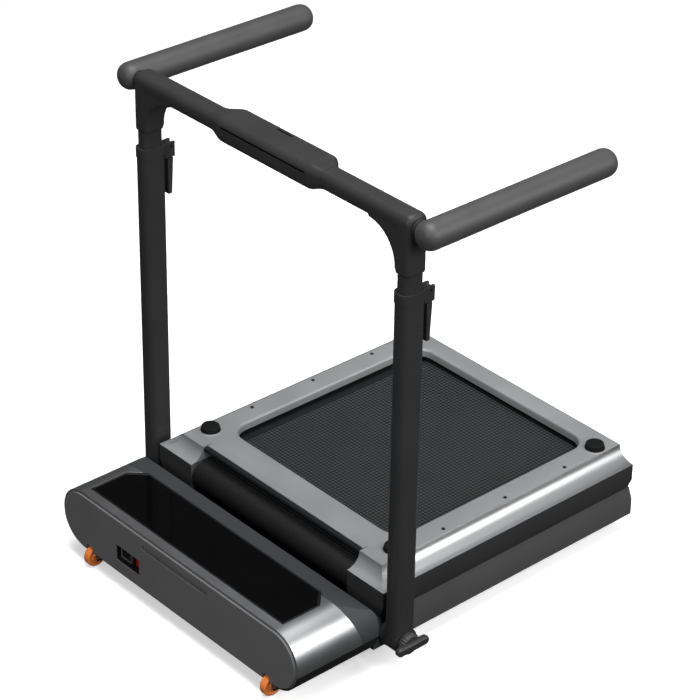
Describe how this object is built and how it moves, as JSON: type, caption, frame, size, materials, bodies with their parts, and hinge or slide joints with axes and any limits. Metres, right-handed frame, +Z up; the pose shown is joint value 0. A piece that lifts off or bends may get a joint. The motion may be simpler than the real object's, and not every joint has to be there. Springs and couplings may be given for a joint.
{
  "type": "folding treadmill",
  "caption": "Flat motorised treadmill whose running deck folds in half; a height-adjustable handlebar with fold-down grips stands on two masts.",
  "frame": {"origin": "on the floor under the centre of the folded machine", "axes": "+X to the user's right, +Y to the rear, +Z up"},
  "size_m": [0.861, 0.901, 0.9475],
  "materials": {
    "rail_paint": "satin black powder-coated extrusion",
    "trim_silver": "polished and clear-anodised",
    "shell_silver": "silver metallic paint over ABS",
    "plate_silver": "matt silver paint",
    "rubber": "matt moulded rubber",
    "belt": "woven-texture PVC",
    "board": "phenolic-faced board",
    "cover_plastic": "fine-grained dark grey ABS",
    "pan_plastic": "black ABS",
    "glass_black": "polished black panel",
    "bezel_black": "satin black",
    "steel": "zinc-plated steel",
    "cast": "die-cast aluminium",
    "mast_paint": "satin charcoal powder-coated tube",
    "grip_foam": "closed-cell foam",
    "lever_black": "glass-filled nylon",
    "wheel_orange": "orange polyurethane",
    "switch_red": "translucent red rocker",
    "motor_body": "black enamel",
    "board_green": "circuit board and heat sink"
  },
  "bodies": {
    "front_deck": {"front_rails": "rail_paint", "front_trims": "trim_silver", "front_bottom_plate": "plate_silver", "front_feet": "rubber", "front_crossmembers": "rail_paint", "front_running_board": "board", "belt_front": "belt", "belt_fold": "belt", "hinge_front_knuckles": "steel", "hinge_pins": "steel", "hood_shell": "shell_silver", "hood_rear_cover": "cover_plastic", "base_pan": "pan_plastic", "front_cover": "cover_plastic", "top_glass": "glass_black", "glass_bezel": "bezel_black", "inlet_frame": "pan_plastic", "power_inlet": "pan_plastic", "motor": "motor_body", "motor_cradle": "rail_paint", "bearing_blocks": "cast", "drive_belt": "rubber", "motor_controller": "board_green", "wheel_axles": "steel", "mast_brackets": "rail_paint", "mast_bolts": "steel"},
    "rear_deck": {"rear_rails": "rail_paint", "rear_trims": "trim_silver", "rear_bottom_plate": "plate_silver", "rear_screws": "steel", "rear_feet": "rubber", "rear_crossmembers": "rail_paint", "rear_running_board": "board", "belt_rear": "belt", "hinge_rear_knuckles": "steel", "rear_end_caps": "shell_silver", "rear_lip": "pan_plastic", "rear_axle": "steel"},
    "rear_roller": {"rear_roller": "steel"},
    "drive_roller": {"drive_roller": "steel"},
    "motor_rotor": {"motor_rotor": "steel"},
    "switch_rocker": {"switch_rocker": "switch_red"},
    "wheel_left": {"wheel_left": "wheel_orange"},
    "wheel_right": {"wheel_right": "wheel_orange"},
    "mast": {"mast_tube_left": "mast_paint", "mast_tube_right": "mast_paint", "clamp_collars": "lever_black", "lever_pins": "steel"},
    "clamp_lever_left": {"clamp_lever_left": "lever_black"},
    "clamp_lever_right": {"clamp_lever_right": "lever_black"},
    "base_knob_left": {"base_knob_left": "lever_black"},
    "base_knob_right": {"base_knob_right": "lever_black"},
    "handlebar": {"inner_tubes": "mast_paint", "crossbar": "mast_paint", "console_cover": "cover_plastic", "display_strip": "glass_black", "corner_piece_left": "lever_black", "corner_piece_right": "lever_black"},
    "handle_left": {"handle_left": "grip_foam"},
    "handle_right": {"handle_right": "grip_foam"}
  },
  "joints": [
    {"name": "deck_fold", "type": "hinge", "parent": "front_deck", "child": "rear_deck", "pos_m": [0, 0.44455, 0.0989], "axis": [-1, 0, 0], "range_deg": [0, 180], "deforming": ["belt_fold"]},
    {"name": "drive_roller_spin", "type": "hinge", "parent": "front_deck", "child": "drive_roller", "pos_m": [0, -0.28255, 0.0681], "axis": [-1, 0, 0], "continuous": true},
    {"name": "motor_spin", "type": "hinge", "parent": "front_deck", "child": "motor_rotor", "pos_m": [0, -0.35655, 0.088], "axis": [-1, 0, 0], "continuous": true},
    {"name": "rear_roller_spin", "type": "hinge", "parent": "rear_deck", "child": "rear_roller", "pos_m": [0, -0.19055, 0.1297], "axis": [-1, 0, 0], "continuous": true},
    {"name": "mast_fold", "type": "hinge", "parent": "front_deck", "child": "mast", "pos_m": [0, -0.19955, 0.068], "axis": [-1, 0, 0], "range_deg": [0, 82]},
    {"name": "height_slide", "type": "slide", "parent": "mast", "child": "handlebar", "axis": [0, 0, 1], "range_m": [-0.03, 0.15]},
    {"name": "power_switch", "type": "hinge", "parent": "front_deck", "child": "switch_rocker", "pos_m": [-0.1215, -0.42355, 0.0815], "axis": [1, 0, 0], "range_deg": [-12, 0]},
    {"name": "handle_left_fold", "type": "hinge", "parent": "handlebar", "child": "handle_left", "pos_m": [-0.404, -0.19955, 0.921], "axis": [-1, 0, 0], "range_deg": [0, 90]},
    {"name": "clamp_lever_left_turn", "type": "hinge", "parent": "mast", "child": "clamp_lever_left", "pos_m": [-0.355, -0.15755, 0.784], "axis": [1, 0, 0], "range_deg": [0, 110]},
    {"name": "base_knob_left_turn", "type": "hinge", "parent": "front_deck", "child": "base_knob_left", "pos_m": [-0.388, -0.19955, 0.068], "axis": [1, 0, 0], "continuous": true},
    {"name": "wheel_left_spin", "type": "hinge", "parent": "front_deck", "child": "wheel_left", "pos_m": [-0.264, -0.42855, 0.0225], "axis": [1, 0, 0], "continuous": true},
    {"name": "handle_right_fold", "type": "hinge", "parent": "handlebar", "child": "handle_right", "pos_m": [0.404, -0.19955, 0.921], "axis": [-1, 0, 0], "range_deg": [0, 90]},
    {"name": "clamp_lever_right_turn", "type": "hinge", "parent": "mast", "child": "clamp_lever_right", "pos_m": [0.355, -0.15755, 0.784], "axis": [1, 0, 0], "range_deg": [0, 110]},
    {"name": "base_knob_right_turn", "type": "hinge", "parent": "front_deck", "child": "base_knob_right", "pos_m": [0.388, -0.19955, 0.068], "axis": [1, 0, 0], "continuous": true},
    {"name": "wheel_right_spin", "type": "hinge", "parent": "front_deck", "child": "wheel_right", "pos_m": [0.264, -0.42855, 0.0225], "axis": [1, 0, 0], "continuous": true}
  ],
  "couplings": [
    {"joint": "motor_spin", "follows": "drive_roller_spin", "ratio": 2.1429},
    {"joint": "rear_roller_spin", "follows": "drive_roller_spin", "ratio": 1}
  ]
}
